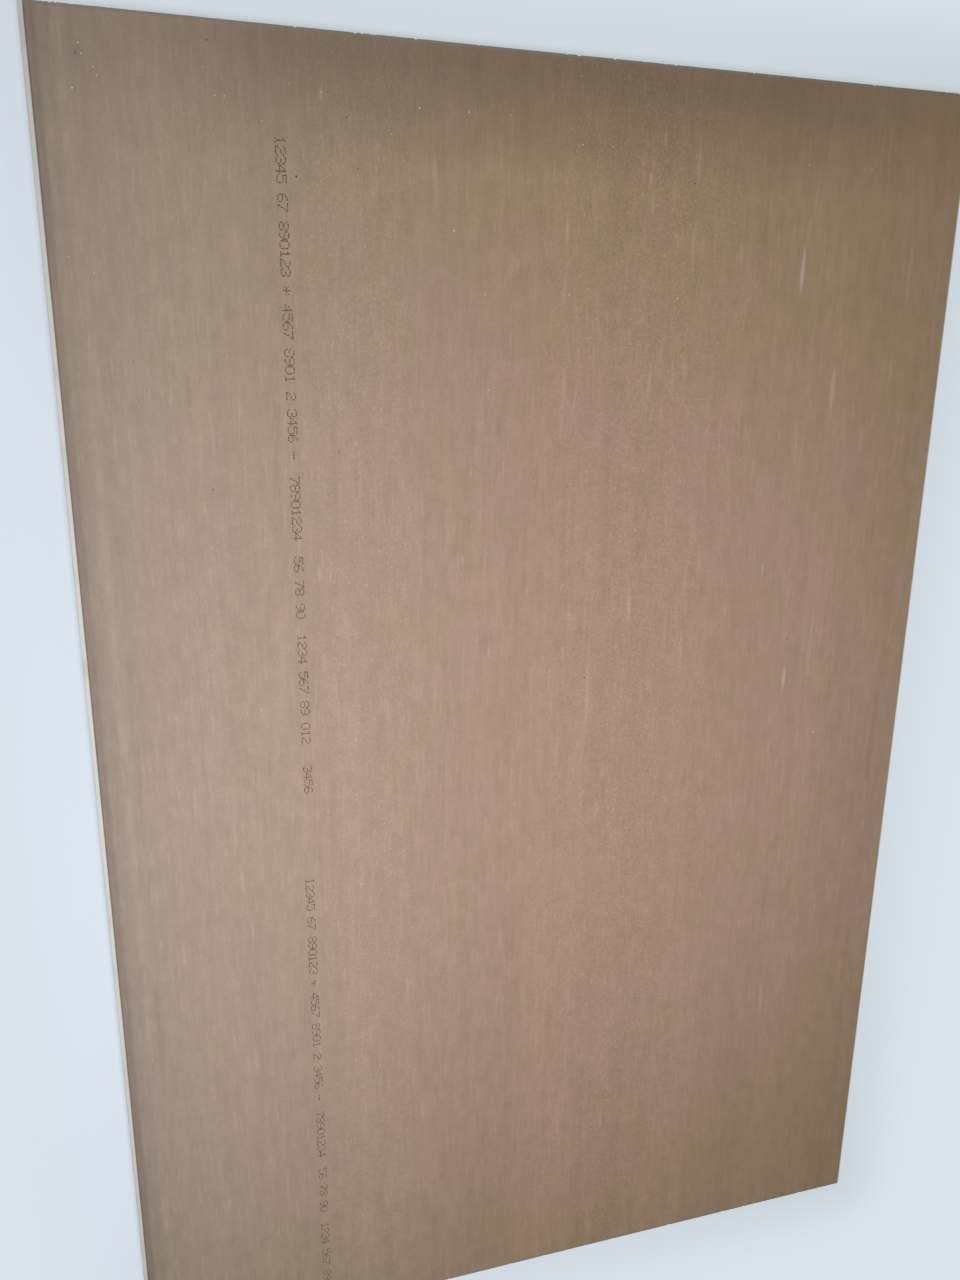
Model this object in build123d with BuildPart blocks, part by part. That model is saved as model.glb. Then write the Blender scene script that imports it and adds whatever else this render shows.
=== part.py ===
from build123d import *
import os

# A drywall sheet, lying on its ivory face with its brown back up.
# The gypsum core was cast between two papers. The face paper runs under the sheet, folds
# round both long edges and laps onto the back, and the back paper is glued over those laps.
# Millimetres: +X across the sheet, +Y along it, +Z up. The origin is the middle of the underside.

# Overall size
sheet_width = 1200.0
sheet_length = 1800.0
sheet_thickness = 12.5

# Papers
face_paper_thickness = 0.35
back_paper_thickness = 0.35

# Tapered long edges, recessed on the face for the joint tape and filler
taper_width = 55.0
taper_depth = 1.3

# Outer radii of the folds that the face paper makes at each long edge
face_fold_radius = 2.0
back_fold_radius = 1.5

# The face paper's laps on the back, and how much of each the back paper leaves bare
lap_width = 33.0
bare_lap_left = 5.5
bare_lap_right = 2.5

# Places that follow from the sizes
half_width = sheet_width / 2
flat_half_width = half_width - taper_width
lap_level = sheet_thickness - back_paper_thickness
back_paper_left = -half_width + bare_lap_left
back_paper_right = half_width - bare_lap_right

# Section that the face paper wraps: the whole sheet, up to the underside of the back paper
with BuildSketch(Plane.XZ) as wrapped_section:
    with BuildLine():
        Polyline(
            (-flat_half_width, 0),
            (flat_half_width, 0),
            (half_width, taper_depth),
            (half_width, lap_level),
            (-half_width, lap_level),
            (-half_width, taper_depth),
            close=True,
        )
    make_face()
    back_corners = wrapped_section.vertices().group_by(Axis.Y)[-1]
    fillet(back_corners, back_fold_radius)
    face_corners = wrapped_section.vertices().group_by(Axis.Y)[1]
    fillet(face_corners, face_fold_radius)

# Gypsum core: white, inside the face paper and up to the back paper, and bare only at the cut ends
with BuildPart() as gypsum_core:
    with BuildSketch(Plane.XZ):
        offset(wrapped_section.sketch_local, amount=-face_paper_thickness)
        with Locations((0, lap_level)):
            Rectangle(
                sheet_width - 2 * lap_width,
                lap_level - sheet_thickness / 2,
                align=(Align.CENTER, Align.MAX),
            )
    extrude(amount=sheet_length / 2, both=True)

# Face paper: one ivory web, folded round both long edges
with BuildPart() as face_paper:
    extrude(wrapped_section.sketch, amount=sheet_length / 2, both=True)
    add(gypsum_core.part, mode=Mode.SUBTRACT)

# Back paper: one brown web, laid over the back and the laps
with BuildPart() as back_paper:
    with BuildSketch(Plane.XY.offset(lap_level)):
        with Locations((back_paper_left, 0)):
            Rectangle(
                back_paper_right - back_paper_left,
                sheet_length,
                align=(Align.MIN, Align.CENTER),
            )
    extrude(amount=back_paper_thickness)

os.makedirs("parts", exist_ok=True)
pieces = {
    "gypsum_core": gypsum_core,
    "face_paper": face_paper,
    "back_paper": back_paper,
}
for name, piece in pieces.items():
    piece.part.label = name
    export_step(piece.part, f"parts/{name}.step")
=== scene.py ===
import math
import random

import bmesh
import bpy
from mathutils import Euler, Matrix, Vector, noise


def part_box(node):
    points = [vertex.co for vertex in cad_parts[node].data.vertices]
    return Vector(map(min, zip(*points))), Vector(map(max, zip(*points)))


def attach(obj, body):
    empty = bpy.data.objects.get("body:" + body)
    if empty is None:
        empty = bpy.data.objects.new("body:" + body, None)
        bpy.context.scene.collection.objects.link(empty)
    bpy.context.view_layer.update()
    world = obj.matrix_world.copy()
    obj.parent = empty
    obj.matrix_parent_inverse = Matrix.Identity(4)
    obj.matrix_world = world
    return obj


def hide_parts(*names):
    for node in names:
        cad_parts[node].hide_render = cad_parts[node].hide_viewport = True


# A drywall sheet on a pale floor, ivory face down and brown back up
mm = 0.001

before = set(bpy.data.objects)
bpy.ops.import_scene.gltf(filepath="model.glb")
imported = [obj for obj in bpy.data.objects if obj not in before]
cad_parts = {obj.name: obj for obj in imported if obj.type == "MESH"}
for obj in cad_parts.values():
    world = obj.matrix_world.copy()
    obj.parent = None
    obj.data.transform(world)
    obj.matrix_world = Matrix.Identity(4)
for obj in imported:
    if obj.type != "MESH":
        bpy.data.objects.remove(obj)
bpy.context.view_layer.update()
coreLow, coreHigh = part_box("gypsum_core")
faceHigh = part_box("face_paper")[1]
backLow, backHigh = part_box("back_paper")
halfWidth = faceHigh.x
halfLength = faceHigh.y
lapLevel = backLow.z
sheetTop = backHigh.z
samePlace = 0.01 * mm  # points nearer than this share a place
creaseAngle = math.radians(28)  # sharper edges than this aren't shaded as rounded
mapMargin = 0.01  # left free at both ends of a row on the bake's map
softly = {"interpolation_type": "SMOOTHSTEP"}  # a range that fades in and out
layerShift = Vector((3.7, 1.9, 0.0))  # keeps the clouds of one layer off those of the last
scene = bpy.context.scene
size = (round(2 * halfWidth / mm), round(2 * halfLength / mm))
print("frame:", len(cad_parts), "nodes, sheet %d by %d mm" % size)


def fromHex(text):  # an sRGB hex colour as the linear numbers that shaders take
    parts = [int(text[i:i + 2], 16) / 255 for i in (1, 3, 5)]
    return tuple(p / 12.92 if p <= 0.04045 else ((p + 0.055) / 1.055) ** 2.4 for p in parts) + (1.0,)


def addNode(tree, kind, inputs=None, **settings):
    # An input takes a value, a hex colour, a socket, or a node for the output that it has in use
    node = tree.nodes.new(kind)
    for name, value in settings.items():
        setattr(node, name, value)
    for name, value in (inputs or {}).items():
        if isinstance(value, bpy.types.Node):
            value = next(output for output in value.outputs if output.enabled)
        if isinstance(value, bpy.types.NodeSocket):
            tree.links.new(value, node.inputs[name])
        else:
            node.inputs[name].default_value = fromHex(value) if isinstance(value, str) else value
    return node


def newMaterial(name):  # an empty material, its tree, and the object's own coordinates in it
    material = bpy.data.materials.new(name)
    material.use_nodes = True
    tree = material.node_tree
    tree.nodes.clear()
    place = addNode(tree, "ShaderNodeTexCoord").outputs["Object"]
    return material, tree, place


def layGrain(tree, place, layers, middle=1.0):
    # Stretched clouds, one for each layer, added up to a tone that lies round the middle given
    tone = middle - 0.5 * sum(layer["depth"] for layer in layers.values())
    for number, layer in enumerate(layers.values()):
        stretch = addNode(tree, "ShaderNodeMapping", {
            "Vector": place,
            "Location": number * layerShift,
            "Scale": (1 / layer["across"], 1 / layer["along"], 1 / layer["across"]),
        })
        cloud = addNode(tree, "ShaderNodeTexNoise", {
            "Vector": stretch, "Scale": 1.0, "Detail": layer["detail"],
        })
        tone = addNode(
            tree, "ShaderNodeMath", {0: cloud, 1: layer["depth"], 2: tone}, operation="MULTIPLY_ADD",
        )
    return tone


def layRelief(tree, place, layers, strength, distance):  # a bump map of the same stretched clouds
    height = layGrain(tree, place, layers)
    return addNode(tree, "ShaderNodeBump", {"Height": height, "Strength": strength, "Distance": distance})


def finishMaterial(tree, place, colour, relief, surface):  # the bump, the shader and the output
    shader = addNode(tree, "ShaderNodeBsdfPrincipled", {
        "Base Color": colour, "Normal": layRelief(tree, place, **relief), **surface,
    })
    addNode(tree, "ShaderNodeOutputMaterial", {"Surface": shader})


def layPatches(tree, place, across, along, levels, shares, detail=2):
    # Stretched clouds again, where the part between two levels fills the range of shares given
    stretch = addNode(tree, "ShaderNodeMapping", {
        "Vector": place, "Scale": (1 / across, 1 / along, 1 / across),
    })
    cloud = addNode(tree, "ShaderNodeTexNoise", {"Vector": stretch, "Scale": 1.0, "Detail": detail})
    return addNode(tree, "ShaderNodeMapRange", {
        "Value": cloud,
        "From Min": levels[0],
        "From Max": levels[1],
        "To Min": shares[0],
        "To Max": shares[1],
    }, **softly)


def layMarks(tree, colour, marks):  # each mark's colour over those before it, by its share
    for share, mark in marks:
        colour = addNode(tree, "ShaderNodeMix", {0: share, 6: colour, 7: mark}, data_type="RGBA")
    return colour


def laySpecks(tree, place, cell, radius, share, strength, length=1.0):
    # Spots in some cells of a loose grid, and 0 between them. Length draws them out along the sheet.
    drawn = addNode(tree, "ShaderNodeMapping", {"Vector": place, "Scale": (1.0, 1 / length, 1.0)})
    cells = addNode(tree, "ShaderNodeTexVoronoi", {"Vector": drawn, "Scale": 1 / cell})
    chance = addNode(tree, "ShaderNodeSeparateColor", {"Color": cells.outputs["Color"]})
    reach = addNode(tree, "ShaderNodeMapRange", {
        "Value": chance, "From Min": 1 - share, "From Max": 1.0, "To Max": radius / cell,
    })
    spots = addNode(tree, "ShaderNodeMath", {0: cells, 1: reach}, operation="LESS_THAN")
    return addNode(tree, "ShaderNodeMath", {0: spots, 1: strength}, operation="MULTIPLY")


def findAway(tree, coordinate, middle):  # how far each point lies from a line, on either side of it
    off = addNode(tree, "ShaderNodeMath", {0: coordinate, 1: middle}, operation="SUBTRACT")
    return addNode(tree, "ShaderNodeMath", {0: off}, operation="ABSOLUTE")


brownPaper = {
    "pinkish": "#A98C79",
    "olive": "#A48B6F",
    # painted cool light, greying the web toward its left edge
    "coolLightGrey": "#A29387",
    "pinkMiddle": (-40 * mm, -100 * mm),  # the pinkish part of the web, across and along
    "pinkReach": (640 * mm, 660 * mm),
    "pinkRim": (0.9, 1.3),  # in shares of its reach, where it starts and ends to turn olive
    "hue": {  # how the two colours blot into each other
        "patches": {"across": 90 * mm, "along": 120 * mm, "detail": 1, "depth": 1.5},
        "blots": {"across": 34 * mm, "along": 48 * mm, "detail": 1, "depth": 1.0},
        "flecks": {"across": 8 * mm, "along": 22 * mm, "detail": 1, "depth": 1.2},
    },
    "greyed": 0.70,  # share at the left edge of the grey that paints cool light from that side
    "grain": {  # across and along the sheet, in metres, and how strongly each shows
        "bands": {"across": 75 * mm, "along": 2.4, "detail": 1, "depth": 0.16},
        "streaks": {"across": 11 * mm, "along": 260 * mm, "detail": 2, "depth": 0.135},
        "runs": {"across": 5 * mm, "along": 48 * mm, "detail": 2, "depth": 0.17},
        "clouds": {"across": 16 * mm, "along": 26 * mm, "detail": 2, "depth": 0.20},
        # Single fibres are too fine to show, so these are clumps of them
        "fibres": {"across": 2 * mm, "along": 6 * mm, "detail": 2, "depth": 0.155},
    },
    "rough": {  # the coarser nap of some lanes
        "grit": {"across": 2.2 * mm, "along": 2.8 * mm, "detail": 1.5, "depth": 0.47},
    },
    # Short pale tufts of the nap there: their size, the levels of noise they fill, their share
    "tufts": {"across": 2.6 * mm, "along": 4.0 * mm, "levels": (0.57, 0.72), "shares": (0.0, 0.28)},
    "roughLanes": [  # middle across and half width, in mm, and strength
        (-150, 440, 0.34), (-250, 60, 0.36), (145, 150, 0.45), (140, 50, 0.20),
    ],
    "lanes": [  # paler and darker lanes of the web, in the same way
        (-450, 75, 0.055), (-295, 40, 0.025), (-170, 30, -0.030), (-80, 50, -0.025),
        (112, 42, -0.055), (430, 100, 0.022),
    ],
    "laneRim": (1.35, 0.65),  # in shares of its half width, where a lane starts and is full
    # Fine pale runs, and the same runs again where a scuff raised them
    "combing": {"across": 3.6 * mm, "along": 42 * mm, "levels": (0.58, 0.72), "shares": (0.0, 0.10)},
    "rubGrain": {"across": 3.6 * mm, "along": 42 * mm, "levels": (0.2, 0.6), "shares": (0.5, 1.0)},
    "lapRidges": [  # where the web steps over the laps: middle across and half width in mm, strength
        (-562, 9, 0.13), (-547, 7, -0.07), (558, 12, -0.08),
    ],
    "ridgeRim": (1.0, 0.0),  # the same for a ridge
    "ridgeBreaks": {"across": 30 * mm, "along": 70 * mm, "levels": (0.40, 0.64), "shares": (0.15, 1.0)},
    "wetEdges": [  # side, how far in the change begins and ends in mm, and how dark
        (-1, 1.3, 2.6, 0.24), (-1, 7.6, 13.5, 0.17), (-1, 20, 34, 0.05), (1, 1.0, 1.8, 0.08),
    ],
    # the colour of the painted shade toward the far end
    "farShade": "#5A4B42",
    "farEndShade": {  # painted shade: in from the far end, and across the sheet
        "share": 0.40, "full": 25 * mm, "none": 140 * mm,
        "middle": 40 * mm, "narrow": 250 * mm, "wide": 650 * mm,
        "sides": 0.3,  # how much of it reaches the sides
    },
    "rubbed": "#CDBBA9",
    "dust": "#E3DCD0",
    "soot": "#3B3029",
    "cutEdge": "#8A8479",
    "sawn": {"start": 5.0 * mm, "full": 0.9 * mm, "share": 0.8},  # in from the cut ends
    # Stray fibres and dust, drawn wider than they are so that they show
    "paleFibres": {"cell": 9 * mm, "radius": 0.8 * mm, "share": 0.5, "strength": 0.18, "length": 3.5},
    "darkFibres": {"cell": 17 * mm, "radius": 0.8 * mm, "share": 0.5, "strength": 0.16, "length": 2.0},
    "fineDust": {"cell": 13 * mm, "radius": 0.8 * mm, "share": 0.35, "strength": 0.6},
    "drifts": {  # where fine dust lies
        "across": 140 * mm, "along": 140 * mm, "levels": (0.5, 0.6), "shares": (0.0, 1.0), "detail": 1,
    },
    "fineSoot": {"cell": 61 * mm, "radius": 0.9 * mm, "share": 0.6, "strength": 1.0},
    "rubRim": (1.0, 0.3),  # in shares of its size, where a scuff starts and is full
    "rubStrength": 0.7,
    "scuffs": [  # middle across and along, length and width in mm, tilt in degrees, strength
        (358, 668, 82, 9, -1, 1.0), (363, 712, 58, 9, -2, 0.32), (423, 508, 90, 10, 0, 0.46),
        (421, 690, 130, 9, 0, 0.12), (427, 132, 150, 9, 0, 0.34), (386, 87, 54, 9, 0, 0.74),
        (379, 34, 24, 6, 0, 0.22), (529, 672, 120, 10, 0, 0.25), (334, 255, 34, 7, 0, 0.42),
        (263, 683, 46, 7, 0, 0.28), (194, 790, 60, 8, 0, 0.3), (192, 698, 70, 8, 0, 0.22),
        (16, 705, 60, 8, 0, 0.34), (15, 645, 70, 8, 0, 0.16), (17, 515, 48, 9, 0, 0.24),
        (15, 461, 44, 8, 0, 0.22), (30, 360, 70, 7, 0, 0.14), (30, 262, 70, 7, 0, 0.14),
        (27, 150, 36, 7, 0, 0.3), (66, 88, 150, 9, 0, 0.25), (125, 213, 66, 8, 0, 0.42),
        (210, 240, 90, 8, 0, 0.18), (210, 140, 70, 8, 0, 0.2), (139, 516, 70, 9, 0, 0.38),
        (131, 738, 40, 8, 0, 0.32), (145, 814, 32, 8, 0, 0.3), (127, 768, 26, 7, 0, 0.26),
        (175, 330, 30, 7, 0, 0.26), (65, 578, 30, 7, 0, 0.22), (99, 654, 26, 7, 0, 0.22),
        (-81, 160, 20, 8, 0, 0.32), (-49, 660, 24, 8, 0, 0.28), (-119, 290, 20, 7, 0, 0.26),
        (-156, 764, 50, 9, 0, 0.24), (-219, 634, 24, 8, 0, 0.26), (-289, 834, 24, 8, 0, 0.26),
        (-307, 280, 20, 7, 0, 0.28), (-256, 716, 60, 10, 0, 0.12), (-521, 410, 200, 14, 0, 0.1),
        (449, -7, 8, 5, 60, 1.0), (399, -470, 80, 9, 2, 0.4), (-178, -560, 60, 9, 0, 0.34),
        (-421, -420, 90, 10, 3, 0.26), (119, -640, 70, 8, -3, 0.36),
    ],
    "spotRim": (1.25, 0.75),  # in shares of its radius, where a spot starts and is full
    "crumbs": [  # gypsum dust stuck to the paper: across, along and radius in mm
        (-131, 696, 0.85), (-173, 828, 0.8), (-113, 828, 0.8), (-553, 820, 0.8), (21, 626, 0.8),
        (-543, 864, 0.7), (-541, 854, 0.7), (-395, 824, 0.62), (-405, 824, 0.5), (173, 626, 0.7),
        (-61, 828, 0.58), (-91, 624, 0.65), (-85, 508, 0.65), (-355, 802, 0.5), (73, 802, 0.6),
        (-547, 634, 0.52), (141, 576, 0.6), (-389, 104, 0.6), (451, 798, 0.72), (-530, 842, 0.6),
        (-527, 834, 0.55), (-287, 836, 0.55), (29, 878, 0.45), (355, 798, 0.6), (33, 802, 0.65),
        (-207, 798, 0.55), (-407, 102, 0.42), (215, 272, 0.5), (-323, 842, 0.5), (73, 458, 0.55),
    ],
    "bits": [  # dark bits of recycled fibre
        (-319, 746, 1.05), (61, 112, 1.1), (387, 148, 1.05), (169, -42, 1.05), (-547, 854, 0.7),
        (-433, 390, 0.8), (-279, 434, 0.82), (135, 148, 0.82), (189, 766, 0.8), (-411, 878, 0.8),
        (469, 112, 0.85), (-247, 758, 0.65), (323, 136, 0.75), (465, 484, 0.75), (-259, 812, 0.75),
        (-105, 442, 0.6), (217, 784, 0.72), (-189, 358, 0.55), (-483, 38, 0.55), (95, 542, 0.6),
        (45, 732, 0.55), (555, 364, 0.7), (-471, 152, 0.5), (-3, 98, 0.5), (297, 520, 0.62),
        (249, -210, 0.8), (-331, -390, 0.7), (469, -600, 0.8),
    ],
    "relief": {
        "layers": {  # the nap is coarser than the real one, which is too fine to show
            "nap": {"across": 0.9 * mm, "along": 5 * mm, "detail": 3, "depth": 1.0},
            "wave": {"across": 8 * mm, "along": 26 * mm, "detail": 1, "depth": 1.5},
        },
        "strength": 0.5,
        "distance": 0.15 * mm,
    },
    "surface": {"IOR": 1.45, "Specular IOR Level": 0.3},
}


def findHue(tree, place, across):
    # Pinkish in the middle of the web and olive round it, in soft blots, and greyer to the left
    look = brownPaper
    there = addNode(tree, "ShaderNodeMapping", {
        "Vector": place, "Location": (*look["pinkMiddle"], 0.0), "Scale": (*look["pinkReach"], 1.0),
    }, vector_type="TEXTURE")
    away = addNode(tree, "ShaderNodeVectorMath", {0: there}, operation="LENGTH")
    outside = addNode(tree, "ShaderNodeMapRange", {
        "Value": away, "From Min": look["pinkRim"][0], "From Max": look["pinkRim"][1],
    })
    blots = layGrain(tree, place, look["hue"], middle=0.0)
    olive = addNode(tree, "ShaderNodeMath", {0: outside, 1: blots}, operation="ADD", use_clamp=True)
    paper = addNode(tree, "ShaderNodeMix", {
        0: olive, 6: look["pinkish"], 7: look["olive"],
    }, data_type="RGBA")
    # painted cool light: greyer toward the left edge
    greyed = addNode(tree, "ShaderNodeMapRange", {
        "Value": across, "From Min": 0.0, "From Max": -halfWidth, "To Max": look["greyed"],
    })
    return addNode(tree, "ShaderNodeMix", {0: greyed, 6: paper, 7: look["coolLightGrey"]}, data_type="RGBA")


def sumLanes(tree, across, lanes, rim):  # soft lanes that run the whole length of the web, added up
    outer, inner = rim
    total = 0.0
    for middle, reach, strength in lanes:
        lane = addNode(tree, "ShaderNodeMapRange", {
            "Value": findAway(tree, across, middle * mm),
            "From Min": outer * reach * mm,
            "From Max": inner * reach * mm,
            "To Max": strength,
        }, **softly)
        total = addNode(tree, "ShaderNodeMath", {0: lane, 1: total}, operation="ADD")
    return total


def findRoughness(tree, place, across):  # the coarser nap of some lanes
    look = brownPaper
    rough = sumLanes(tree, across, look["roughLanes"], look["laneRim"])
    grit = layGrain(tree, place, look["rough"], middle=0.0)
    tufts = layPatches(tree, place, **look["tufts"])
    nap = addNode(tree, "ShaderNodeMath", {0: grit, 1: tufts}, operation="ADD")
    return addNode(tree, "ShaderNodeMath", {0: nap, 1: rough}, operation="MULTIPLY")


def findRidges(tree, place, across):
    # Broken lines, pale or dark, where the web was pressed over the edges of the laps
    look = brownPaper
    ridges = sumLanes(tree, across, look["lapRidges"], look["ridgeRim"])
    broken = layPatches(tree, place, **look["ridgeBreaks"])
    return addNode(tree, "ShaderNodeMath", {0: ridges, 1: broken}, operation="MULTIPLY")


def darkenEdges(tree, tone, across):  # paste wetted the paper along its slit edges
    for side, start, end, dark in brownPaper["wetEdges"]:
        edge = backLow.x if side < 0 else backHigh.x
        inside = addNode(
            tree, "ShaderNodeMath", {0: across, 1: -side, 2: side * edge}, operation="MULTIPLY_ADD",
        )
        dry = addNode(tree, "ShaderNodeMapRange", {
            "Value": inside, "From Min": start * mm, "From Max": end * mm, "To Min": 1 - dark,
        }, **softly)
        tone = addNode(tree, "ShaderNodeMath", {0: tone, 1: dry}, operation="MULTIPLY")
    return tone


def findFarShade(tree, across, along):  # painted shade: the paper darker toward the far end, most in the middle of it
    look = brownPaper["farEndShade"]
    shadeAlong = addNode(tree, "ShaderNodeMapRange", {
        "Value": along,
        "From Min": halfLength - look["none"],
        "From Max": halfLength - look["full"],
        "To Max": look["share"],
    })
    amid = addNode(tree, "ShaderNodeMapRange", {
        "Value": findAway(tree, across, look["middle"]),
        "From Min": look["wide"],
        "From Max": look["narrow"],
        "To Min": look["sides"],
    }, **softly)
    return addNode(tree, "ShaderNodeMath", {0: shadeAlong, 1: amid}, operation="MULTIPLY")


def findRubs(tree, place):
    # Scuffs: long pale rubs, where the surface fibres are raised
    look = brownPaper
    outer, inner = look["rubRim"]
    rubs = 0.0
    for x, y, length, width, tilt, strength in look["scuffs"]:
        there = addNode(tree, "ShaderNodeMapping", {
            "Vector": place,
            "Location": (x * mm, y * mm, sheetTop),
            "Rotation": (0.0, 0.0, math.radians(tilt)),
            "Scale": (width * mm / 2, length * mm / 2, 1.0),
        }, vector_type="TEXTURE")
        away = addNode(tree, "ShaderNodeVectorMath", {0: there}, operation="LENGTH")
        rub = addNode(tree, "ShaderNodeMapRange", {
            "Value": away,
            "From Min": outer,
            "From Max": inner,
            "To Max": look["rubStrength"] * strength,
        }, **softly)
        rubs = addNode(tree, "ShaderNodeMath", {0: rub, 1: rubs}, operation="MAXIMUM")
    raised = layPatches(tree, place, **look["rubGrain"])
    return addNode(tree, "ShaderNodeMath", {0: rubs, 1: raised}, operation="MULTIPLY")


def findSpots(tree, place, spots, scattered):
    # The spots of a list, with others scattered between them
    outer, inner = brownPaper["spotRim"]
    found = scattered
    for x, y, radius in spots:
        gap = addNode(
            tree, "ShaderNodeVectorMath", {0: place, 1: (x * mm, y * mm, sheetTop)}, operation="DISTANCE",
        )
        spot = addNode(tree, "ShaderNodeMapRange", {
            "Value": gap, "From Min": outer * radius * mm, "From Max": inner * radius * mm,
        })
        found = addNode(tree, "ShaderNodeMath", {0: spot, 1: found}, operation="MAXIMUM")
    return found


def brownPaperColour(tree, place):
    look = brownPaper
    across, along, _ = addNode(tree, "ShaderNodeSeparateXYZ", {"Vector": place}).outputs
    combed = layPatches(tree, place, **look["combing"])
    tone = layGrain(tree, place, look["grain"])
    lanes = sumLanes(tree, across, look["lanes"], look["laneRim"])
    for extra in (findRoughness(tree, place, across), findRidges(tree, place, across), combed, lanes):
        tone = addNode(tree, "ShaderNodeMath", {0: tone, 1: extra}, operation="ADD")
    tone = darkenEdges(tree, tone, across)
    hue = findHue(tree, place, across)
    colour = addNode(tree, "ShaderNodeVectorMath", {0: hue, "Scale": tone}, operation="SCALE")
    # White gypsum dust lies in loose drifts, and dark bits of recycled fibre all over
    drifts = layPatches(tree, place, **look["drifts"])
    dust = laySpecks(tree, place, **look["fineDust"])
    dust = addNode(tree, "ShaderNodeMath", {0: dust, 1: drifts}, operation="MULTIPLY")
    soot = laySpecks(tree, place, **look["fineSoot"])
    # The paper is greyer and darker along both cut ends
    sawn = addNode(tree, "ShaderNodeMapRange", {
        "Value": findAway(tree, along, 0.0),
        "From Min": halfLength - look["sawn"]["start"],
        "From Max": halfLength - look["sawn"]["full"],
        "To Max": look["sawn"]["share"],
    }, **softly)
    return layMarks(tree, colour, [
        # painted shade toward the far end
        (findFarShade(tree, across, along), look["farShade"]),
        (findRubs(tree, place), look["rubbed"]),
        (laySpecks(tree, place, **look["paleFibres"]), look["rubbed"]),
        (laySpecks(tree, place, **look["darkFibres"]), look["soot"]),
        (findSpots(tree, place, look["crumbs"], dust), look["dust"]),
        (findSpots(tree, place, look["bits"], soot), look["soot"]),
        (sawn, look["cutEdge"]),
    ])


def makeBrownSurface(name, roughness, stain):
    material, tree, place = newMaterial(name)
    colour = brownPaperColour(tree, place)
    if stain:
        colour = addNode(tree, "ShaderNodeMix", {
            0: 1.0, 6: colour, 7: stain,
        }, data_type="RGBA", blend_type="MULTIPLY")
    surface = {**brownPaper["surface"], "Roughness": roughness}
    finishMaterial(tree, place, colour, brownPaper["relief"], surface)
    return material


def recycledBoardPaper():
    # Grey-brown paper of recycled fibre, made on a running wire and left uncoated: matt, and
    # streaked along the sheet, with stray pale and dark bits in it
    return makeBrownSurface("recycled_brown_paper_uncoated", roughness=0.88, stain=None)


def coderInk():
    # Solvent ink from a drop coder, soaked into the brown paper: the paper's own pattern, darkened
    return makeBrownSurface("dark_coder_ink_soaked_in", roughness=0.8, stain="#968C7C")


ivoryPaper = {
    "ivory": "#D6D3CC",
    "fleck": "#8F887B",  # grey fibres
    "foldShadeColour": "#C4C2BC",  # painted shade on the rounded folds, laid in patches
    "smudge": "#A0988B",
    "ply": "#B6A68F",  # the unbleached plies under the ivory one, seen at the cut ends
    "grain": {
        "bands": {"across": 55 * mm, "along": 1.6, "detail": 1, "depth": 0.05},
        "streaks": {"across": 4 * mm, "along": 90 * mm, "detail": 2, "depth": 0.06},
        "fibres": {"across": 1.1 * mm, "along": 6 * mm, "detail": 2, "depth": 0.10},  # clumps again
    },
    "flecks": {  # drawn wide enough to show
        "across": 1.1 * mm, "along": 4 * mm, "levels": (0.70, 0.78), "shares": (0.0, 0.4), "detail": 1,
    },
    "foldShadeReach": (2.6 * mm, 0.78 * mm),  # painted shade: how far in from the edge it starts and is full
    "foldShadePatches": {
        "across": 22 * mm, "along": 60 * mm, "levels": (0.3, 0.65), "shares": (0.25, 0.7), "detail": 3,
    },
    "smudgeReach": 40 * mm,
    "smudges": {
        "across": 38 * mm, "along": 38 * mm, "levels": (0.5, 0.78), "shares": (0.0, 0.35), "detail": 4,
    },
    "relief": {
        "layers": {  # coarser than the real nap here too
            "nap": {"across": 0.8 * mm, "along": 4 * mm, "detail": 2, "depth": 1.0},
            "wave": {"across": 6 * mm, "along": 40 * mm, "detail": 1, "depth": 1.0},
        },
        "strength": 0.35,
        "distance": 0.1 * mm,
    },
    "surface": {"Roughness": 0.68, "IOR": 1.48, "Specular IOR Level": 0.4},
}


def ivoryBoardPaper():
    # Ivory face paper, pressed smooth on its outer ply for paint: a soft sheen, a faint grain
    # along the sheet, grey fibres here and there, painted shade on the folds, and smudges where hands
    # hold the edges
    look = ivoryPaper
    material, tree, place = newMaterial("ivory_face_paper_calendered")
    tone = layGrain(tree, place, look["grain"])
    colour = addNode(tree, "ShaderNodeVectorMath", {
        0: fromHex(look["ivory"])[:3], "Scale": tone,
    }, operation="SCALE")
    across = addNode(tree, "ShaderNodeSeparateXYZ", {"Vector": place}).outputs["X"]
    side = findAway(tree, across, 0.0)
    outer = addNode(tree, "ShaderNodeMapRange", {
        "Value": side,
        "From Min": halfWidth - look["foldShadeReach"][0],
        "From Max": halfWidth - look["foldShadeReach"][1],
    }, **softly)
    patchyShade = layPatches(tree, place, **look["foldShadePatches"])
    near = addNode(tree, "ShaderNodeMapRange", {
        "Value": side, "From Min": halfWidth - look["smudgeReach"], "From Max": halfWidth,
    })
    touched = layPatches(tree, place, **look["smudges"])
    flecked = layPatches(tree, place, **look["flecks"])
    colour = layMarks(tree, colour, [
        (flecked, look["fleck"]),
        # painted shade on the rounded folds, in patches
        (addNode(tree, "ShaderNodeMath", {0: outer, 1: patchyShade}, operation="MULTIPLY"), look["foldShadeColour"]),
        (addNode(tree, "ShaderNodeMath", {0: touched, 1: near}, operation="MULTIPLY"), look["smudge"]),
        (addNode(tree, "ShaderNodeAttribute", attribute_name="cutFace").outputs["Fac"], look["ply"]),
    ])
    finishMaterial(tree, place, colour, look["relief"], look["surface"])
    return material


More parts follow.
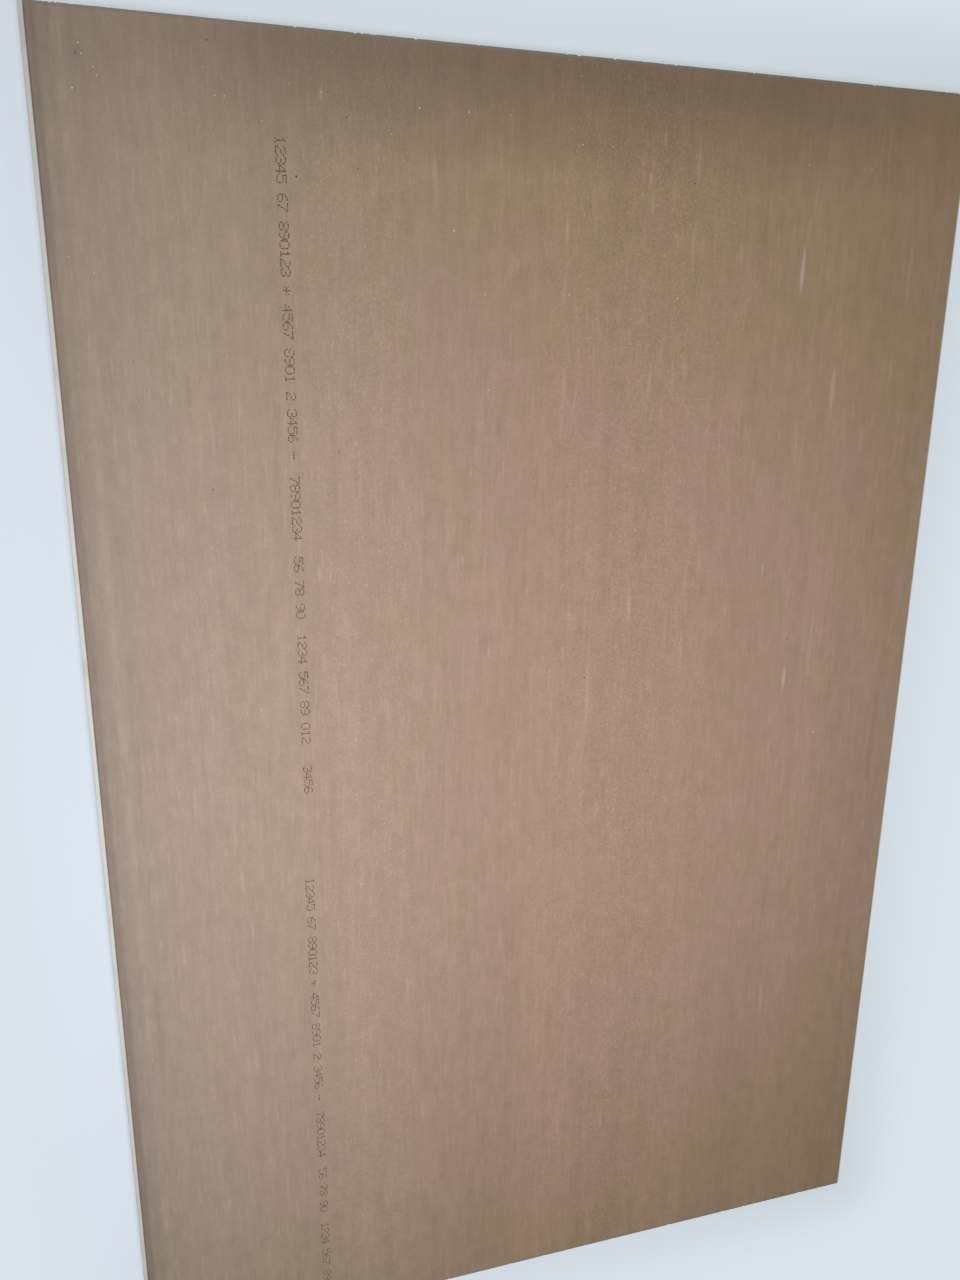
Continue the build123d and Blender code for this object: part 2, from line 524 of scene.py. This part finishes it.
gypsum = {
    "white": "#F1EFE9",
    # painted shade in the open pores
    "poreShade": "#A8A294",
    "grain": {
        "clouds": {"across": 11 * mm, "along": 11 * mm, "detail": 2, "depth": 0.08},
        # The real grit is a tenth of this, too fine to show, and so is that of the relief
        "grit": {"across": 0.7 * mm, "along": 0.7 * mm, "detail": 3, "depth": 0.16},
    },
    "pores": [
        {"cell": 2.1 * mm, "radius": 0.62 * mm, "share": 0.8, "strength": 0.35},
        {"cell": 1.0 * mm, "radius": 0.3 * mm, "share": 0.9, "strength": 0.35},
    ],
    "relief": {
        "layers": {"grit": {"across": 0.6 * mm, "along": 0.6 * mm, "detail": 3, "depth": 1.0}},
        "strength": 0.7,
        "distance": 0.2 * mm,
    },
    "surface": {"Roughness": 0.96, "IOR": 1.52, "Specular IOR Level": 0.25},
}


def foamedGypsum():
    # Gypsum foamed with soap bubbles, set hard and sawn: chalk white and dead matt, open pores
    # of all sizes, and a fine grit
    look = gypsum
    material, tree, place = newMaterial("foamed_gypsum_sawn")
    tone = layGrain(tree, place, look["grain"])
    colour = addNode(tree, "ShaderNodeVectorMath", {
        0: fromHex(look["white"])[:3], "Scale": tone,
    }, operation="SCALE")
    # the pores are dark spots of painted shade
    pores = [(laySpecks(tree, place, **specks), look["poreShade"]) for specks in look["pores"]]
    colour = layMarks(tree, colour, pores)
    finishMaterial(tree, place, colour, look["relief"], look["surface"])
    return material


def addObject(name, data):
    thing = bpy.data.objects.new(name, data)
    scene.collection.objects.link(thing)
    return thing


def writeMesh(bm, name, material):
    mesh = bpy.data.meshes.new(name)
    bm.to_mesh(mesh)
    bm.free()
    mesh.materials.append(material)
    return mesh


def layBakeMap(bm, findPlace):
    # The map for baking: findPlace gives each corner of each face its place on the picture
    bm.normal_update()
    layer = bm.loops.layers.uv.new("OFBake")
    for face in bm.faces:
        for loop in face.loops:
            loop[layer].uv = findPlace(face, loop.vert.co)


def finishPiece(bm, name, material, node):  # writes the mesh and hands the piece to the frame
    mesh = writeMesh(bm, name, material)
    mesh.polygons.foreach_set("use_smooth", [True] * len(mesh.polygons))
    mesh.set_sharp_from_angle(angle=creaseAngle)
    piece = addObject(name, mesh)
    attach(piece, "root")
    if node:
        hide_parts(node)
    triangles = sum(len(p.vertices) - 2 for p in mesh.polygons)
    print(name, "made,", triangles, "triangles")


def onStrip(strip, share):  # a height on the bake's map, from a strip's start and height there
    return strip[0] + strip[1] * share


def inRow(share):  # a place along a row of the bake's map, clear of the row's ends
    return mapMargin + (1 - 2 * mapMargin) * share


def shareAlong(co):  # 0 at the near end of the sheet, 1 at the far end
    return (co.y + halfLength) / (2 * halfLength)


def drawOut(bm, drawn, length):  # moves the points that an extrusion gave along the sheet
    farVerts = [g for g in drawn["geom"] if isinstance(g, bmesh.types.BMVert)]
    bmesh.ops.translate(bm, verts=farVerts, vec=(0, length, 0))


def cutAcross(bm, y):  # new points where a plane across the sheet cuts the mesh
    bmesh.ops.bisect_plane(
        bm, geom=bm.verts[:] + bm.edges[:] + bm.faces[:], plane_co=(0, y, 0), plane_no=(0, 1, 0),
    )


def thicken(bm, thickness, outside):
    # Gives a web its thickness, inwards from its outer side: up or down at its outermost face
    bmesh.ops.recalc_face_normals(bm, faces=bm.faces[:])
    outermost = max(bm.faces, key=lambda face: outside * face.calc_center_median().z)
    if outside * outermost.normal.z < 0:
        bmesh.ops.reverse_faces(bm, faces=bm.faces[:])
    bmesh.ops.solidify(bm, geom=bm.faces[:], thickness=thickness)
    bmesh.ops.recalc_face_normals(bm, faces=bm.faces[:])


paperCut = {
    "step": 0.8 * mm,  # between points along a cut end
    "fray": 0.35 * mm,  # how far cut fibres wander
    "frayWaves": 0.35,  # to the millimetre
    "frayNoise": (0.6, 2.2, 4),  # roughness, lacunarity and octaves of the noise
    "nicks": 24,  # torn spots in each end
    "nickWidth": (1.2 * mm, 5.0 * mm),
    "nickDepth": (0.4 * mm, 1.8 * mm),
    "nickRagged": 0.3,
}


def fray(bm, seed):
    # Divides the edges at both cut ends and pulls their points in: loose fibres and small nicks
    look = paperCut
    dice = random.Random(seed)
    for end in (-1, 1):
        rim = [e for e in bm.edges if all(abs(v.co.y - end * halfLength) < samePlace for v in e.verts)]
        for edge in rim:
            cuts = math.floor(edge.calc_length() / look["step"])
            if cuts:
                bmesh.ops.bisect_edges(bm, edges=[edge], cuts=cuts)
        nicks = []
        for _ in range(look["nicks"]):
            middle = dice.uniform(-halfWidth, halfWidth)
            reach = dice.uniform(*look["nickWidth"]) / 2
            nicks.append((middle, reach, dice.triangular(*look["nickDepth"], look["nickDepth"][0])))
        for vert in [v for v in bm.verts if abs(v.co.y - end * halfLength) < samePlace]:
            spot = Vector((vert.co.x, vert.co.z, seed + end)) / mm
            wander = 0.5 + 0.5 * noise.fractal(spot * look["frayWaves"], *look["frayNoise"])
            pull = look["fray"] * min(max(wander, 0.0), 1.0)
            for middle, reach, depth in nicks:
                share = abs(vert.co.x - middle) / reach
                if share < 1:
                    torn = 1 - look["nickRagged"] * (1 - wander)
                    pull += depth * math.sqrt(1 - share * share) * torn
            vert.co.y -= end * pull


backPaper = {
    "seed": 3,
    "cell": 24 * mm,
    "thickness": 0.3 * mm,
    "inkFilm": 0.04 * mm,
    "slitWander": 0.25 * mm,  # how far the slitter's edges wander
    "slitWaves": 6,  # to the metre
    "slitNoise": (5, 0.3),  # keeps the two sides' noise apart, and its level
    "strips": {  # where each side starts on the bake's map, and how much of its height it takes
        "left": (0.002, 0.005), "right": (0.009, 0.005),
        "nearEnd": (0.016, 0.005), "farEnd": (0.023, 0.005),
        "under": (0.030, 0.016), "upper": (0.05, 0.95),
    },
}
paperTop = sheetTop - backPaper["inkFilm"]


def backPaperPlace(face, co):
    # The web's upper side fills the picture, and its other sides lie in thin strips under it
    strips = backPaper["strips"]
    normal = face.normal
    along = shareAlong(co)
    across = (co.x - backLow.x) / (backHigh.x - backLow.x)
    up = (co.z - paperTop) / backPaper["thickness"] + 1
    if normal.z > 0.5:
        return across, onStrip(strips["upper"], along)
    if normal.z < -0.5:
        return along, onStrip(strips["under"], across)
    if abs(normal.x) > abs(normal.y):
        return along, onStrip(strips["left" if normal.x < 0 else "right"], up)
    return across, onStrip(strips["nearEnd" if normal.y < 0 else "farEnd"], up)


def makeBackPaper():
    # One web of paper: a grid of large cells, frayed at the cut ends and given its thickness
    look = backPaper
    bm = bmesh.new()
    width = backHigh.x - backLow.x
    middle = Vector(((backLow.x + backHigh.x) / 2, 0, paperTop))
    bmesh.ops.create_grid(
        bm,
        x_segments=round(width / look["cell"]),
        y_segments=round(2 * halfLength / look["cell"]),
        size=1.0,
        matrix=Matrix.LocRotScale(middle, None, Vector((width / 2, halfLength, 1))),
    )
    for vert in bm.verts:
        if min(vert.co.x - backLow.x, backHigh.x - vert.co.x) < samePlace:
            side = math.copysign(1, vert.co.x)
            apart, level = look["slitNoise"]
            spot = Vector((side * apart, vert.co.y * look["slitWaves"], level))
            wander = 0.5 + 0.5 * noise.noise(spot)
            vert.co.x -= side * look["slitWander"] * wander
    fray(bm, look["seed"])
    thicken(bm, look["thickness"], 1)
    layBakeMap(bm, backPaperPlace)
    finishPiece(bm, "brown_back_paper", recycledBoardPaper(), "back_paper")


facePaper = {
    "seed": 8,
    "ring": 24 * mm,  # between rings along the sheet
    "thickness": 0.33 * mm,
    "lapWidth": 33 * mm,
    "taperWidth": 55 * mm,
    "taperDepth": 1.3 * mm,
    "faceFold": 2.0 * mm,
    "backFold": 1.5 * mm,
    "foldSegments": 7,
    "foldGap": 1 * mm,  # how near its edge the core's height is taken
    "edgeWander": 0.18 * mm,
    "wanderReach": 3 * mm,  # how far in from the edges it fades
    "wanderWaves": (3, 9, 60),  # keeps the sides' noise apart, then to the metre along and up
    "wanderNoise": (0.7, 2.1, 3),  # roughness, lacunarity and octaves
    "strips": {
        "nearEnd": (0.002, 0.024), "farEnd": (0.030, 0.024),
        "glued": (0.058, 0.010),
        "leftEdge": (0.078, 0.028), "rightEdge": (0.110, 0.028),
        "leftLap": (0.142, 0.030), "rightLap": (0.176, 0.030),
        "face": (0.21, 0.79),
    },
    "gluedUp": 0.006,  # added to the glued side's strip for its height
    "skinRoom": (0.3, 0.006),  # shares of a cut end's strip that its two skins get, up and across
}


def widenSkins(share, skin, room):  # gives the thin skin at both ends of a length room on the map
    if share < skin:
        return room * share / skin
    if share > 1 - skin:
        return 1 - room * (1 - share) / skin
    return room + (1 - 2 * room) * (share - skin) / (1 - 2 * skin)


def facePaperPlace(face, co):
    # The face fills most of the picture, and each other side has its strip under it
    look = facePaper
    strips = look["strips"]
    along = shareAlong(co)
    across = (co.x + halfWidth) / (2 * halfWidth)
    low, high = coreLevels(min(abs(co.x), coreHigh.x - look["foldGap"]))
    height = high - low + 2 * look["thickness"]
    upRoom, acrossRoom = look["skinRoom"]
    up = widenSkins((co.z - low + look["thickness"]) / height, look["thickness"] / height, upRoom)
    normal = face.normal
    middle = face.calc_center_median()
    right = middle.x > 0
    upper = middle.z > sheetTop / 2
    if abs(normal.y) > 0.5:
        wide = widenSkins(across, look["thickness"] / (2 * halfWidth), acrossRoom)
        return wide, onStrip(strips["nearEnd" if normal.y < 0 else "farEnd"], up)
    if normal.z < -0.7 and not upper:
        return across, onStrip(strips["face"], along)
    if normal.z > 0.7 and upper:
        inside = (halfWidth - abs(co.x)) / look["lapWidth"]
        return along, onStrip(strips["rightLap" if right else "leftLap"], inside)
    if abs(normal.x) > 0.1 and (normal.x > 0) == right:
        return along, onStrip(strips["rightEdge" if right else "leftEdge"], co.z / sheetTop)
    return along, onStrip(strips["glued"], across) + look["gluedUp"] * up


def makeFacePaper():
    # One web: its outline drawn at one end, drawn out along the sheet, and its corners rolled over
    look = facePaper
    bm = bmesh.new()
    corners = [
        (halfWidth - look["lapWidth"], lapLevel),
        (halfWidth, lapLevel),
        (halfWidth, look["taperDepth"]),
        (halfWidth - look["taperWidth"], 0),
    ]
    outline = [(-x, z) for x, z in corners] + corners[::-1]
    verts = [bm.verts.new((x, -halfLength, z)) for x, z in outline]
    edges = [bm.edges.new(pair) for pair in zip(verts, verts[1:])]
    drawOut(bm, bmesh.ops.extrude_edge_only(bm, edges=edges), 2 * halfLength)
    for radius, high in ((look["backFold"], True), (look["faceFold"], False)):
        folds = []
        for edge in bm.edges:
            start, end = (v.co for v in edge.verts)
            lengthwise = abs(start.y - end.y) > halfLength
            atSide = abs(abs(start.x) - halfWidth) < samePlace
            if len(edge.link_faces) == 2 and lengthwise and atSide and (start.z > sheetTop / 2) == high:
                folds.append(edge)
        bmesh.ops.bevel(
            bm, geom=folds, offset=radius, offset_type="OFFSET", affect="EDGES",
            segments=look["foldSegments"], profile=0.5, material=-1,
        )
    rings = round(2 * halfLength / look["ring"])
    for number in range(1, rings):
        cutAcross(bm, -halfLength + number * 2 * halfLength / rings)
    for vert in bm.verts:
        side = math.copysign(1, vert.co.x)
        share = max(0.0, 1 - (halfWidth - abs(vert.co.x)) / look["wanderReach"])
        apart, waves, wavesUp = look["wanderWaves"]
        spot = Vector((side * apart, vert.co.y * waves, vert.co.z * wavesUp))
        wander = 0.5 + 0.5 * noise.fractal(spot, *look["wanderNoise"])
        vert.co.x -= side * share * look["edgeWander"] * min(max(wander, 0.0), 1.0)
    fray(bm, look["seed"])
    thicken(bm, look["thickness"], -1)
    cut = bm.faces.layers.float.new("cutFace")
    for face in bm.faces:
        face[cut] = 1.0 if abs(face.normal.y) > 0.5 else 0.0
    layBakeMap(bm, facePaperPlace)
    finishPiece(bm, "ivory_face_paper", ivoryBoardPaper(), "face_paper")


gypsumCore = {
    "seed": 21,
    "grain": 0.9 * mm,  # size of the cells on a sawn end
    "recess": 0.35 * mm,  # the core ends just inside its papers
    "rough": 0.22 * mm,
    "roughWaves": 0.5,  # to the millimetre
    "roughNoise": (0.6, 2.1, 3),
    "roughApart": 9,  # keeps the two ends' noise apart
    "bubbles": 900,  # open bubbles on each end
    "bubbleSize": (0.7 * mm, 1.7 * mm),
    "bubbleDepth": 0.8,  # in shares of a round bubble's
    "bubbleColumn": 2 * mm,  # the bubbles are looked up in columns this wide
    "clear": 0.3 * mm,  # between the core's hidden sides and the folded paper
    "collar": 5 * mm,  # the last stretch before each end, where the core fills the fold
    "mapRows": 8,  # each end is laid on the bake's map in this many rows
    "rowStrip": (0.002, 0.0585),  # where the rows start there, and from one row to the next
    "rowUp": 0.05,  # the height of an end in its row
    "rowInward": 0.004,  # added for a point as deep as the collar
    "sideStrip": (0.94, 0.05),  # the hidden sides and the collar
    "sideUp": 0.008,
}


def coreLevels(x):  # the core's lowest and highest point at a distance across the sheet
    look = facePaper
    skin = coreLow.z
    fromEdge = coreHigh.x - abs(x)
    low = skin + look["taperDepth"] * max(0.0, 1 - fromEdge / look["taperWidth"])
    high = lapLevel - (skin if abs(x) > halfWidth - look["lapWidth"] else 0.0)
    lifts = []
    for fold in ("faceFold", "backFold"):
        radius = look[fold] - skin
        inside = max(0.0, radius - fromEdge)
        lifts.append(radius - math.sqrt(max(0.0, radius * radius - inside * inside)))
    return low + lifts[0], high - lifts[1]


def corePlace(face, co):
    # Each sawn end lies in equal rows, and the hidden sides share the strip above them
    look = gypsumCore
    middle = face.calc_center_median()
    reach = halfLength - look["recess"]
    up = co.z / sheetTop
    if min(abs(v.co.y) for v in face.verts) < reach - look["collar"] + samePlace:
        across = (co.x / coreHigh.x + 1) / 2
        return shareAlong(co), onStrip(look["sideStrip"], across) + look["sideUp"] * up
    rowLength = 2 * coreHigh.x / look["mapRows"]
    row = min(look["mapRows"] - 1, math.floor((middle.x + coreHigh.x) / rowLength))
    start = -coreHigh.x + row * rowLength
    if middle.y > 0:
        row += look["mapRows"]
    inward = (reach - abs(co.y)) / look["collar"]
    across = inRow((co.x - start) / rowLength)
    return across, onStrip(look["rowStrip"], row) + look["rowUp"] * up + look["rowInward"] * inward


def makeGypsumCore():
    look = gypsumCore
    dice = random.Random(look["seed"])
    reach = halfLength - look["recess"]
    bm = bmesh.new()
    bmesh.ops.create_grid(
        bm,
        x_segments=round(2 * coreHigh.x / look["grain"]),
        y_segments=round((coreHigh.z - coreLow.z) / look["grain"]),
        size=1.0,
        matrix=Matrix.LocRotScale(
            Vector((0, -reach, 0)), Euler((math.pi / 2, 0, 0)), Vector((coreHigh.x, 1, 1)),
        ),
    )
    for vert in bm.verts:
        low, high = coreLevels(vert.co.x)
        vert.co.z = low + (high - low) * (vert.co.z + 1) / 2
    drawOut(bm, bmesh.ops.extrude_face_region(bm, geom=bm.faces[:], use_keep_orig=True), 2 * reach)
    for end in (-1, 1):
        cutAcross(bm, end * (reach - look["collar"]))
    for vert in bm.verts:
        if abs(vert.co.y) < reach - look["collar"] / 2:
            side = math.copysign(1, vert.co.x)
            vert.co.x = side * min(abs(vert.co.x), coreHigh.x - look["clear"])
    bmesh.ops.recalc_face_normals(bm, faces=bm.faces[:])
    for end in (-1, 1):
        bubbles = {}  # by the column of cells that they lie in
        for _ in range(look["bubbles"]):
            x = dice.uniform(-coreHigh.x, coreHigh.x)
            middle = Vector((x, end * reach, dice.uniform(coreLow.z, coreHigh.z)))
            size = dice.triangular(*look["bubbleSize"], look["bubbleSize"][0])
            bubbles.setdefault(round(middle.x / look["bubbleColumn"]), []).append((middle, size))
        for vert in [v for v in bm.verts if abs(v.co.y - end * reach) < samePlace]:
            spot = vert.co / mm * look["roughWaves"] + Vector((0, look["roughApart"] * end, 0))
            pull = look["rough"] * (0.5 + noise.fractal(spot, *look["roughNoise"]))
            column = round(vert.co.x / look["bubbleColumn"])
            for near in (column - 1, column, column + 1):
                for middle, size in bubbles.get(near, ()):
                    gap = (vert.co - middle).length
                    if gap < size:
                        pull += look["bubbleDepth"] * math.sqrt(size * size - gap * gap)
            vert.co.y -= end * max(0.0, pull)
    layBakeMap(bm, corePlace)
    finishPiece(bm, "gypsum_core_block", foamedGypsum(), "gypsum_core")


inkLine = {
    "seed": 5,
    "text": "12345 67 890123 * 4567 8901 2 3456 -  78901234  56 78 90  1234 567 89 012   3456",
    "start": 787 * mm,  # along the sheet, where the first line begins
    "runs": 2,
    "repeat": 934 * mm,  # from the start of one run to the next
    "baseline": -341.2 * mm,  # across the sheet, at the foot of the first numeral
    "drift": 3.4 / 810,  # slope of the line against the sheet's edge
    "pitch": 10.1 * mm,  # from one numeral to the next
    "columnPitch": 2.0 * mm,
    "rowPitch": 1.75 * mm,
    "dot": 0.87 * mm,  # radius of a drop on the paper
    "dotSizes": (0.86, 1.1),  # in shares of that
    "dotTop": 0.92,  # share of its radius left at its worn rim
    "dotDepth": 1.96,  # in films, half of it sunk in the paper
    "dotSides": 8,
    "dotTurns": (0, 0.7),  # radians
    "dotStretch": (0.95, 1.2),  # along the sheet
    "scatter": (0.08, 0.10),  # across and along, in mm
    "missed": 0.02,  # share of drops that failed
    "endMargin": 1 * mm,  # no drop lies nearer to the near end
    "mapRows": 8,
    "mapFoot": 4 * mm,  # left free in a row under the first numeral
    "mapWidth": 26 * mm,  # of the sheet that a row shows
}
dotShapes = {  # rows from the top, five dots wide
    "0": "01110 10001 10001 10001 10001 10001 01110",
    "1": "00100 01100 00100 00100 00100 00100 01110",
    "2": "01110 10001 00001 00110 01000 10000 11111",
    "3": "01110 10001 00001 00110 00001 10001 01110",
    "4": "00010 00110 01010 10010 11111 00010 00010",
    "5": "11111 10000 11110 00001 00001 10001 01110",
    "6": "00110 01000 10000 11110 10001 10001 01110",
    "7": "11111 00001 00010 00100 00100 01000 01000",
    "8": "01110 10001 10001 01110 10001 10001 01110",
    "9": "01110 10001 10001 01111 00001 00010 01100",
    "*": "00000 00100 10101 01110 10101 00100 00000",
    "-": "00000 00000 00000 11111 00000 00000 00000",
}


def inkPlace(face, co):  # the long line of numerals, laid on the bake's map in rows
    look = inkLine
    rows = look["mapRows"]
    rowLength = 2 * halfLength / rows
    row = math.floor((face.calc_center_median().y + halfLength) / rowLength)
    start = -halfLength + row * rowLength
    across = (co.x - look["baseline"] + look["mapFoot"]) / look["mapWidth"]
    return inRow((co.y - start) / rowLength), (row + across) / rows


def addDot(bm, across, along, size, dice):  # one drop of ink, a thin round film with a worn rim
    look = inkLine
    film = backPaper["inkFilm"]
    middle = Vector((across, along, sheetTop - film))
    turn = Euler((0, 0, dice.uniform(*look["dotTurns"])))
    stretch = Vector((1, dice.uniform(*look["dotStretch"]), 1))
    bmesh.ops.create_cone(
        bm, cap_ends=True, segments=look["dotSides"],
        radius1=size, radius2=look["dotTop"] * size, depth=look["dotDepth"] * film,
        matrix=Matrix.LocRotScale(middle, turn, stretch),
    )


def makeInkLine():
    # Counting numerals in drops of ink, in two runs of the coder
    look = inkLine
    dice = random.Random(look["seed"])
    bm = bmesh.new()
    for run in range(look["runs"]):
        top = look["start"] - run * look["repeat"]
        for number, sign in enumerate(look["text"]):
            rows = dotShapes.get(sign, "").split()
            for row, dots in enumerate(rows):
                for column, dot in enumerate(dots):
                    below = number * look["pitch"] + column * look["columnPitch"]
                    atEnd = top - below < -halfLength + look["endMargin"]
                    if dot == "0" or atEnd or dice.random() < look["missed"]:
                        continue
                    up = (len(rows) - 1 - row) * look["rowPitch"]
                    across = look["baseline"] + up + below * look["drift"]
                    across += dice.gauss(0, look["scatter"][0]) * mm
                    along = top - below + dice.gauss(0, look["scatter"][1]) * mm
                    addDot(bm, across, along, look["dot"] * dice.uniform(*look["dotSizes"]), dice)
    layBakeMap(bm, inkPlace)
    finishPiece(bm, "ink_numerals", coderInk(), None)


makeGypsumCore()
makeFacePaper()
makeBackPaper()
makeInkLine()


studio = {
    "floor": "#E8EEF4",
    "floorSize": 80.0,  # metres
    "backdrop": "#DAE3EA",  # what the camera sees further off, on the floor and above it
    "backdropShare": (0.60, 1.0),  # beside the sheet and further off
    "backdropReach": (0.0, 0.16),  # metres from the sheet, where each is reached
    "light": "#FFFBF2",
    "horizon": 1.6,  # strength of the light from low all round, and from straight above
    "zenith": 0.05,
    "heights": (0.1, 0.6),  # of a ray's direction, where the one turns into the other
    "lamps": {  # place in metres, size in metres, watts, colour
        "window_lamp": ((-0.27, 0.03, 1.25), 0.9, 16.5, "#F2F7FF"),
    },
}


def makeFloor():
    # Matt paint, which pales to the backdrop's colour with the distance, for the camera alone
    look = studio
    material, tree, place = newMaterial("pale_matt_floor_paint")
    quarter = addNode(tree, "ShaderNodeVectorMath", {0: place}, operation="ABSOLUTE")
    beside = addNode(
        tree, "ShaderNodeVectorMath", {0: quarter, 1: (halfWidth, halfLength, 0.0)}, operation="SUBTRACT",
    )
    outside = addNode(tree, "ShaderNodeVectorMath", {0: beside, 1: (0.0, 0.0, 0.0)}, operation="MAXIMUM")
    away = addNode(tree, "ShaderNodeVectorMath", {0: outside}, operation="LENGTH")
    far = addNode(tree, "ShaderNodeMapRange", {
        "Value": away,
        "From Min": look["backdropReach"][0],
        "From Max": look["backdropReach"][1],
        "To Min": look["backdropShare"][0],
        "To Max": look["backdropShare"][1],
    }, **softly)
    seen = addNode(tree, "ShaderNodeLightPath").outputs["Is Camera Ray"]
    share = addNode(tree, "ShaderNodeMath", {0: far, 1: seen}, operation="MULTIPLY")
    paint = addNode(tree, "ShaderNodeBsdfDiffuse", {"Color": fromHex(look["floor"]), "Roughness": 0.9})
    backdrop = addNode(tree, "ShaderNodeEmission", {"Color": fromHex(look["backdrop"])})
    both = addNode(tree, "ShaderNodeMixShader", {0: share, 1: paint, 2: backdrop})
    addNode(tree, "ShaderNodeOutputMaterial", {"Surface": both})
    bm = bmesh.new()
    bmesh.ops.create_grid(bm, x_segments=2, y_segments=2, size=look["floorSize"] / 2)
    floor = addObject("floor", writeMesh(bm, "floor", material))


def makeLight():
    # A light tent: brightest low all round, so that upright faces are lit too, and a soft lamp above
    look = studio
    world = bpy.data.worlds.new("studio")
    world.use_nodes = True
    tree = world.node_tree
    tree.nodes.clear()
    way = addNode(tree, "ShaderNodeTexCoord").outputs["Generated"]
    height = addNode(tree, "ShaderNodeSeparateXYZ", {"Vector": way}).outputs["Z"]
    strength = addNode(tree, "ShaderNodeMapRange", {
        "Value": height,
        "From Min": look["heights"][0],
        "From Max": look["heights"][1],
        "To Min": look["horizon"],
        "To Max": look["zenith"],
    })
    tent = addNode(tree, "ShaderNodeBackground", {"Color": fromHex(look["light"]), "Strength": strength})
    backdrop = addNode(tree, "ShaderNodeBackground", {"Color": fromHex(look["backdrop"])})
    seen = addNode(tree, "ShaderNodeLightPath").outputs["Is Camera Ray"]
    both = addNode(tree, "ShaderNodeMixShader", {0: seen, 1: tent, 2: backdrop})
    addNode(tree, "ShaderNodeOutputWorld", {"Surface": both})
    scene.world = world
    for name, (place, size, watts, colour) in look["lamps"].items():
        lamp = bpy.data.lights.new(name, "AREA")
        lamp.size = size
        lamp.energy = watts
        lamp.color = fromHex(colour)[:3]
        holder = addObject(name, lamp)
        holder.location = place
        holder.visible_camera = False


photoCamera = {
    "place": (-463.0 * mm, 533.3 * mm, 1256.7 * mm + sheetTop),
    "turn": (-15.314, -16.242, 0.509),  # degrees about X, Y and Z
    "lens": 28.04,  # mm
    "longSide": 36,  # of the picture behind the lens, in mm
}


def makeCamera():
    lens = bpy.data.cameras.new("photo_camera")
    lens.lens = photoCamera["lens"]
    lens.sensor_width = photoCamera["longSide"]
    lens.clip_start = 10 * mm
    camera = addObject("photo_camera", lens)
    camera.location = photoCamera["place"]
    camera.rotation_euler = [math.radians(a) for a in photoCamera["turn"]]
    scene.camera = camera


makeFloor()
makeLight()
makeCamera()
scene.view_settings.view_transform = "Standard"
print("studio and camera set")
